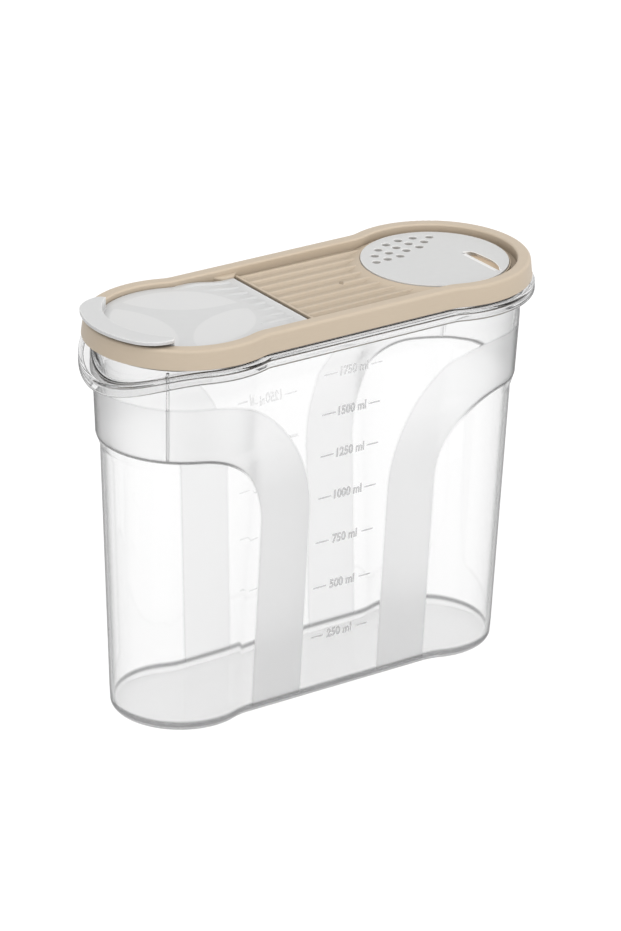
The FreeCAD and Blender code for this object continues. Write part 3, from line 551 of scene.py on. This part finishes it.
# A cheek swells from the tray wall beside each end of the hinge.
CHEEK_RUN = ((-28.5, 0.12), (-26.6, 0.6), (-25.2, 1.0), (-19.6, 1.0), (-18.4, 0.6), (-16.8, 0.12))
CHEEK_PROFILE = ((0.0, 179.0), (0.0, 181.5), (0.8, 181.4), (1.7, 181.25), (2.4, 181.0), (2.58, 180.6),
                 (2.58, 179.0))
cheeks = []
for side, name in ((-1, "hinge_cheek_front"), (1, "hinge_cheek_back")):
    loops = [[(x, side * (WALL_INSIDE - share * inward), z) for inward, z in CHEEK_PROFILE]
             for x, share in CHEEK_RUN]
    cheeks.append(skin(name, loops, 60))
beige_plastic, tree, shader = plastic("beige_plastic", Specular_IOR_Level=0.42)


def mixed(tree, share, a, b):
    return add(tree, "ShaderNodeMix", {"Factor": share, "A": a, "B": b}, data_type="RGBA").outputs["Result"]


def close_to(tree, value, middle, half):
    """1 within half of a middle, and 0 elsewhere."""
    return add(tree, "ShaderNodeMath", {0: value, 1: middle, 2: half}, operation="COMPARE").outputs[0]


def painted_corner_shade(tree, colour, depth, amount):
    """Colour with painted shade, darker in corners and narrow gaps where little light comes in."""
    corner = add(tree, "ShaderNodeAmbientOcclusion", {"Distance": depth * MM}, samples=8).outputs["AO"]
    return add(tree, "ShaderNodeMix", {"Factor": amount, "A": colour, "B": corner}, data_type="RGBA",
               blend_type="MULTIPLY").outputs["Result"]


BEIGE_DEEP, BEIGE_LIGHT = (0.632, 0.522, 0.396, 1), (0.672, 0.565, 0.44, 1)
VALLEY_SHADE, TROUGH_SHADE, GATE_SHADE = (0.3, 0.24, 0.17, 1), (0.2, 0.145, 0.1, 1), (0.27, 0.2, 0.13, 1)
TRAY_MIDDLE, TRAY_REACH, TROUGH_HALF_WIDTH, TROUGH_FLOOR, TROUGH_END = 22.0, 40.0, 3.5, 177.6, 30.7
SEAT_FLOOR, CORNER_DEPTH, CORNER_SHADE = 179.1, 5.0, 0.45
place = places(tree)
sideways, height = maths(tree, "ABSOLUTE", place["Y"]), place["Z"]
colour = mixed(tree, noise(tree, 26.0, 4.0, 0.6), BEIGE_DEEP, BEIGE_LIGHT)
in_tray = times(tree, maths(tree, "LESS_THAN", off_from(tree, place["X"], TRAY_MIDDLE * MM), TRAY_REACH * MM),
                maths(tree, "LESS_THAN", sideways, TRAY_HALF * MM))
# Painted shade: the valleys between the beads darken towards the tray floor.
valley_shade = times(tree, in_tray, ramp(tree, height, 180.4 * MM, 179.2 * MM))
colour = mixed(tree, times(tree, valley_shade, 0.2), colour, VALLEY_SHADE)
# Painted shade: the hinge trough below the ledge is darkened.
trough_middle, trough_reach = LEDGE_X - TROUGH_HALF_WIDTH, TROUGH_HALF_WIDTH + 0.05
trough_shade = times(tree, close_to(tree, place["X"], trough_middle * MM, trough_reach * MM),
                  maths(tree, "LESS_THAN", height, (LEDGE_TOP - 0.12) * MM),
                  maths(tree, "GREATER_THAN", height, TROUGH_FLOOR * MM),
                  maths(tree, "LESS_THAN", sideways, TROUGH_END * MM))
colour = mixed(tree, times(tree, trough_shade, 0.4), colour, TROUGH_SHADE)
# Painted shade: a dark spot on the gate mark, standing in for the shadow of its pip.
from_gate = maths(tree, "SUBTRACT", place["X"], GATE_X * MM)
gate = ramp(tree, ellipse_distance(tree, from_gate, sideways, MM, MM), 1.15, 0.85)
colour = mixed(tree, times(tree, gate, 0.55), colour, GATE_SHADE)
# Painted light: the floor of the disc's seat glows faintly, standing in for light that comes through the
# milky disc.
from_disc = ellipse_distance(tree, maths(tree, "SUBTRACT", place["X"], END_CENTRE * MM), sideways,
                             SEAT_RADIUS * MM, SEAT_RADIUS * MM)
under_disc = times(tree, close_to(tree, height, SEAT_FLOOR * MM, 0.3 * MM),
                   maths(tree, "LESS_THAN", from_disc, 1.0))
shader.inputs["Emission Color"].default_value = (0.62, 0.5, 0.38, 1)
tree.links.new(times(tree, under_disc, 0.35), shader.inputs["Emission Strength"])
# Painted shade darkens the lid's corners and gaps, less beside the disc's collar and not at all under the
# disc.
by_collar = times(tree, in_tray, ramp(tree, from_disc, 1.16, 1.05))
open_spot = most(tree, under_disc, times(tree, by_collar, 0.8))
corner_shade = maths(tree, "SUBTRACT", CORNER_SHADE, times(tree, open_spot, CORNER_SHADE))
tree.links.new(painted_corner_shade(tree, colour, CORNER_DEPTH, corner_shade), shader.inputs["Base Color"])
grain = noise(tree, 1600.0, 3.0)
tree.links.new(span(tree, grain, 0.0, 1.0, 0.36, 0.52), shader.inputs["Roughness"])
grained(tree, shader, grain, 0.12)
for piece in (lid, ledge, collar_foot, *cheeks):
    piece.data.materials.append(beige_plastic)
    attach(piece, "lid")
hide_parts("lid")

# Pouring flap: a thin plate of milky white plastic, hinged on two pins of its own barrel,
# with a three-armed web below that shows through it and a lifted tab for the thumb.
FLAP_EDGE, FLAP_TOP, FLAP_HALF = 0.22, 181.7, 32.7
PLATE_FOOT, PLATE_RISE, PLATE_LOW = 179.9, 1.8, 179.95
BAR_START, BAR_END, BAR_FULL = -60.0, 33.6, 40.0
HINGE_DROP, HINGE_NARROW, HINGE_REACH = 1.55, 0.062, 1.4
THIN_FROM, NARROW_FROM, HINGE_SIDE = -44, -41, -25
BARREL_START, BARREL_STOP, BARREL_RUN = -24.0, -20.0, 3.1
TAB_FOOT, TAB_ROOT, TAB_NEAR, TAB_TAPER = 184.5, 36.5, 37.0, 0.5
TAPER_FROM, TAPER_FULL = radians(30), radians(52)
WEB_RADIUS, WEB_HUB, WEB_ARM, WEB_BLUR = 31.2, 9.5, 8.0, 0.6


def settle_flap(x, y, z):
    """Towards the hinge the plate thins, narrows and reaches over the barrel; the tab's ends taper."""
    far, turn = sqrt((x + END_CENTRE) ** 2 + y * y), abs(atan2(y, -END_CENTRE - x))
    if x > BAR_START and z > FLAP_TOP + 0.02:
        z = FLAP_TOP + (z - FLAP_TOP) * smooth_step(far, BAR_END, BAR_FULL)
    if z > PLATE_LOW and abs(y) < FLAP_HALF:
        z -= HINGE_DROP * smooth_step(x, THIN_FROM, HINGE_SIDE) * min((z - PLATE_FOOT) / PLATE_RISE, 1.0)
    if abs(y) < FLAP_HALF:
        y *= 1 - HINGE_NARROW * smooth_step(x, NARROW_FROM, HINGE_SIDE)
    if BARREL_START < x < BARREL_STOP:
        x += HINGE_REACH * (x - BARREL_START) / BARREL_RUN
    if z > TAB_FOOT and far > TAB_NEAR:
        taper = 1 - TAB_TAPER * smooth_step(turn, TAPER_FROM, TAPER_FULL)
        near = (TAB_ROOT + (far - TAB_ROOT) * taper) / far
        x, y = (x + END_CENTRE) * near - END_CENTRE, y * near
    return x, y, z


flap = softened("pour_flap", "pouring_flap", FLAP_EDGE, settle_flap, range(THIN_FROM, HINGE_SIDE + 1, 2))


def milky_plastic(name, tone):
    """White plastic that lets a little light in, with fine grain and slow changes of tone."""
    material, tree, shader = plastic(name, Specular_IOR_Level=0.4, Subsurface_Weight=0.25,
                                     Subsurface_Scale=0.002, Subsurface_Radius=(1.0, 1.0, 1.0))
    grain = noise(tree, 1400.0, 3.0)
    tree.links.new(span(tree, grain, 0.0, 1.0, 0.36, 0.5), shader.inputs["Roughness"])
    grained(tree, shader, grain, 0.1)
    dim = [channel * 0.965 for channel in tone]
    return material, tree, shader, mixed(tree, noise(tree, 20.0, 2.0), (*dim, 1), (*tone, 1))


def paint_edge_glow_and_shade(tree, shader, colour, shadow, where=1.0, also=0.0):
    """Finish a milky plastic: thin edges get a painted highlight and glow, and deep corners painted shade."""
    rounded = add(tree, "ShaderNodeBevel", {"Radius": 0.7 * MM}, samples=8).outputs[0]
    straight = add(tree, "ShaderNodeNewGeometry").outputs["True Normal"]
    match = add(tree, "ShaderNodeVectorMath", {0: rounded, 1: straight}, operation="DOT_PRODUCT")
    edge = span(tree, match.outputs["Value"], 0.99, 0.88, 0.0, 1.0)
    edge = most(tree, times(tree, edge, where), also)
    lit = mixed(tree, times(tree, edge, 0.75), painted_corner_shade(tree, colour, 4.0, shadow), (0.98, 0.975, 0.96, 1))
    tree.links.new(lit, shader.inputs["Base Color"])
    shader.inputs["Emission Color"].default_value = (1, 0.99, 0.97, 1)
    tree.links.new(times(tree, edge, 0.16), shader.inputs["Emission Strength"])


# Painted light: between the arms of the web the plate is lighter, in three windows with round sides, where
# light from inside the tub shows through.
half_window = pi / 3 - sin(WEB_ARM / 2 / WEB_RADIUS)
window_throw = (WEB_RADIUS ** 2 - WEB_HUB ** 2) / 2 / (WEB_RADIUS * cos(half_window) - WEB_HUB)
window_edge = window_throw - WEB_HUB
flap_plastic, tree, shader, tone = milky_plastic("milky_flap_plastic", (0.752, 0.754, 0.752))
spot = add(tree, "ShaderNodeTexCoord").outputs["Object"]
flat = add(tree, "ShaderNodeVectorMath", {0: spot, 1: (1, 1, 0)}, operation="MULTIPLY").outputs[0]


def distance_to(tree, x, y):
    """Distance in plan of the spot on the flap from a point."""
    return add(tree, "ShaderNodeVectorMath", {0: flat, 1: (x * MM, y * MM, 0)},
               operation="DISTANCE").outputs["Value"]


window = 0.0
for turn in (pi / 3, pi, -pi / 3):
    far = distance_to(tree, window_throw * cos(turn) - END_CENTRE, window_throw * sin(turn))
    inside = ramp(tree, far, (window_edge + WEB_BLUR) * MM, (window_edge - WEB_BLUR) * MM)
    window = most(tree, inside, window)
far = distance_to(tree, -END_CENTRE, 0)
window = times(tree, window, ramp(tree, far, (WEB_RADIUS + 0.5) * MM, (WEB_RADIUS - 0.5) * MM))
lit_petals = mixed(tree, window, tone, (0.795, 0.795, 0.792, 1))
place = add(tree, "ShaderNodeSeparateXYZ", {0: spot}).outputs
off_bars = most(tree, maths(tree, "LESS_THAN", place["X"], -46 * MM),
                maths(tree, "GREATER_THAN", maths(tree, "ABSOLUTE", place["Y"]), 29 * MM))
# Painted highlight: a warm light line along the flap's edge at the hinge; edges off the bars get a painted
# glow and corners painted shade.
hinge_highlight = ramp(tree, place["X"], -21.2 * MM, -20.6 * MM)
paint_edge_glow_and_shade(tree, shader, lit_petals, 0.6, most(tree, off_bars, 0.05), times(tree, hinge_highlight, 0.2))
flap.data.materials.append(flap_plastic)
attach(flap, "flap")
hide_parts("pour_flap")

# Shaker disc: a round plate of the same white plastic that turns on a snap-in post, with
# rows of holes and a crescent finger slot whose near edge slopes down as a thumb ramp.
DISC_EDGE, DISC_RIM, RIM_GROWTH = 0.2, 31.5, 0.25
SLOT_FAR, SLOT_NEAR, SLOT_START, SLOT_STOP = 81.9, 80.9, -28.2, -0.3
SLOT_FLOOR, UNDERCUT = 179.8, 2.6
RAMP_FOOT, RAMP_EDGE, RAMP_OUT, RAMP_UP = 180.3, 180.9, 1.0, 0.6
BLUNT_X, BLUNT_FROM, BLUNT_FULL, BLUNT_STOP, BLUNT_END, BLUNT_SHARE = 81.7, -13, -5, -0.6, -0.5, 0.8
THUMB_RAMP = (("X", 81.2, 1.8), ("Y", -14.0, 13.0))
RAMP_LOW, RAMP_HIGH = 181.1, 181.74


def settle_disc(x, y, z):
    """The rim fills its collar, the slot is undercut at its far side and its near side is a ramp."""
    far = sqrt((x - END_CENTRE) ** 2 + y * y)
    if far > DISC_RIM:
        wider = (far + RIM_GROWTH) / far
        x, y = END_CENTRE + (x - END_CENTRE) * wider, y * wider
    elif SLOT_START < y < SLOT_STOP:
        if x > SLOT_FAR and z < SLOT_FLOOR:
            x += UNDERCUT
        elif SLOT_NEAR < x < SLOT_FAR and RAMP_FOOT < z < RAMP_EDGE:
            x, z = x + RAMP_OUT, z + RAMP_UP
        if x > BLUNT_X and BLUNT_FROM < y < BLUNT_STOP:
            y += BLUNT_SHARE * (BLUNT_END - y) * smooth_step(y, BLUNT_FROM, BLUNT_FULL)
    return x, y, z


disc = softened("shaker_disc", "turning_disc", DISC_EDGE, settle_disc)
disc_plastic, tree, shader, tone = milky_plastic("milky_disc_plastic", (0.747, 0.749, 0.744))
place = places(tree)
# Painted highlight: the thumb ramp at the slot's near edge is lighter.
ramp_highlight = times(tree, maths(tree, "LESS_THAN", place["Z"], RAMP_HIGH * MM),
                   maths(tree, "GREATER_THAN", place["Z"], RAMP_LOW * MM))
for axis, middle, half in THUMB_RAMP:
    ramp_highlight = times(tree, ramp_highlight, close_to(tree, place[axis], middle * MM, half * MM))
# Edges get a painted glow, and the holes and corners painted shade.
paint_edge_glow_and_shade(tree, shader, mixed(tree, ramp_highlight, tone, (0.97, 0.965, 0.955, 1)), 0.5)
disc.data.materials.append(disc_plastic)
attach(disc, "disc")
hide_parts("shaker_disc")

# Studio: a white floor and a white room whose light is strongest from the front, with the
# camera where the photograph was taken from. Its sizes are in metres.
FLOOR_HALF, FLOOR_DROP = 6.0, 0.0002
FLOOR_BOUNCE, FLOOR_SEEN, FLOOR_LIFT = (0.36, 0.36, 0.36, 1), (0.2, 0.2, 0.2, 1), 0.91
ROOM_KEY, ROOM_DIM, ROOM_BRIGHT = (-0.14, -0.97, 0.19), 0.3, 1.6
floor_mesh = bpy.data.meshes.new("studio_floor")
bm = bmesh.new()
bmesh.ops.create_grid(bm, x_segments=2, y_segments=2, size=FLOOR_HALF)
bm.to_mesh(floor_mesh)
bm.free()
studio_floor = bpy.data.objects.new("studio_floor", floor_mesh)
studio_floor.location.z = -FLOOR_DROP
scene.collection.objects.link(studio_floor)
floor_paint = bpy.data.materials.new("white_floor")
floor_paint.use_nodes = True
tree = floor_paint.node_tree
tree.nodes.remove(tree.nodes["Principled BSDF"])


def seen_directly(tree):
    """1 for what the camera sees straight, in a reflection or through clear plastic."""
    path = add(tree, "ShaderNodeLightPath").outputs
    seen = most(tree, path["Is Camera Ray"], path["Is Glossy Ray"])
    return most(tree, seen, path["Is Transmission Ray"])


seen = seen_directly(tree)
paint = add(tree, "ShaderNodeBsdfDiffuse", {"Color": mixed(tree, seen, FLOOR_BOUNCE, FLOOR_SEEN)})
lift = add(tree, "ShaderNodeEmission", {"Color": (1, 1, 1, 1), "Strength": times(tree, seen, FLOOR_LIFT)})
both = add(tree, "ShaderNodeAddShader", {0: paint.outputs[0], 1: lift.outputs[0]})
tree.links.new(both.outputs[0], tree.nodes["Material Output"].inputs["Surface"])
floor_mesh.materials.append(floor_paint)

room = bpy.data.worlds.new("studio_room")
scene.world = room
room.use_nodes = True
tree = room.node_tree
backdrop = tree.nodes["Background"]
toward = add(tree, "ShaderNodeTexCoord").outputs["Generated"]
key = tuple(Vector(ROOM_KEY).normalized())
facing = add(tree, "ShaderNodeVectorMath", {0: toward, 1: key}, operation="DOT_PRODUCT").outputs["Value"]
glow = span(tree, facing, -0.6, 1.0, ROOM_DIM, ROOM_BRIGHT)
strength = add(tree, "ShaderNodeMix", {"Factor": seen_directly(tree), "A": glow, "B": 1.0}, data_type="FLOAT")
tree.links.new(strength.outputs["Result"], backdrop.inputs["Strength"])
backdrop.inputs["Color"].default_value = (1, 1, 1, 1)

VIEW_AZIMUTH, VIEW_ELEVATION, VIEW_ROLL = radians(-35.352), radians(23.77), radians(1.19)
VIEW_DISTANCE, VIEW_HEIGHT = 2.0812, 0.092
camera = bpy.data.objects.new("camera", bpy.data.cameras.new("camera"))
scene.collection.objects.link(camera)
turn = (Matrix.Rotation(VIEW_AZIMUTH, 4, "Z") @ Matrix.Rotation(pi / 2 - VIEW_ELEVATION, 4, "X")
        @ Matrix.Rotation(VIEW_ROLL, 4, "Z"))
target, retreat = Matrix.Translation((0, 0, VIEW_HEIGHT)), Matrix.Translation((0, 0, VIEW_DISTANCE))
camera.matrix_world = target @ turn @ retreat
camera.data.sensor_width = 36.0
camera.data.lens = 182.57
camera.data.shift_x = 0.00386
camera.data.shift_y = 0.0126
camera.data.clip_end = 50.0
scene.camera = camera

scene.view_settings.view_transform = "Standard"
